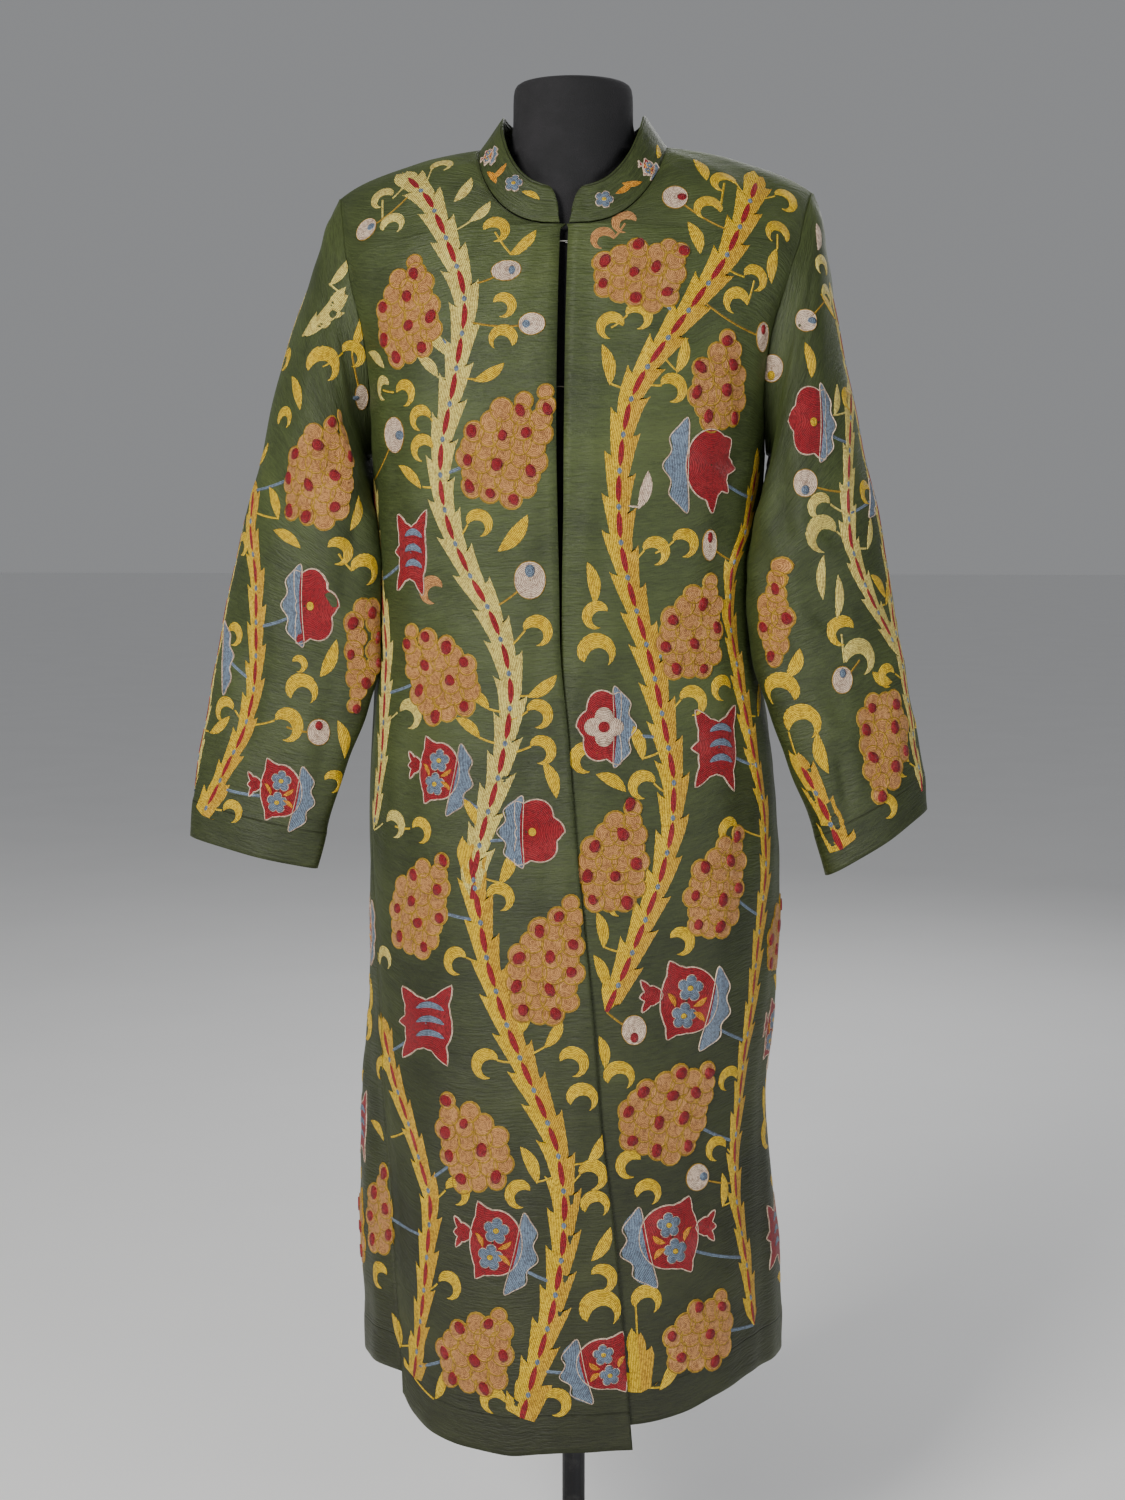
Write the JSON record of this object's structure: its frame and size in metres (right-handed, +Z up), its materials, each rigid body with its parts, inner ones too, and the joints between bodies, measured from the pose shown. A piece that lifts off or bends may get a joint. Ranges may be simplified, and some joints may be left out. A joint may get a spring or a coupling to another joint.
{
  "type": "embroidered chapan robe on a dress form",
  "caption": "Long embroidered silk robe with stand collar, long sleeves and a lapped front, on a limbless velvet dress form with a round stand.",
  "frame": {"origin": "centre of the underside of the round base, on the floor", "axes": "+Z up; the robe's front faces -Y; +X is the wearer's left"},
  "size_m": [0.6859, 0.3454, 1.43],
  "materials": {
    "silk": "olive green crinkled silk with chain-stitch embroidery",
    "velvet": "near-black velvet",
    "stand_metal": "satin black",
    "hook_metal": "bright wire"
  },
  "bodies": {
    "root": {"right_front": "silk", "left_front": "silk", "back": "silk", "right_sleeve": "silk", "left_sleeve": "silk", "collar": "silk", "hook_1": "hook_metal", "eye_1": "hook_metal", "hook_2": "hook_metal", "eye_2": "hook_metal", "hook_3": "hook_metal", "eye_3": "hook_metal", "form_body": "velvet", "form_socket": "stand_metal", "stand_pole": "stand_metal", "stand_hub": "stand_metal", "stand_base": "stand_metal"}
  },
  "joints": []
}
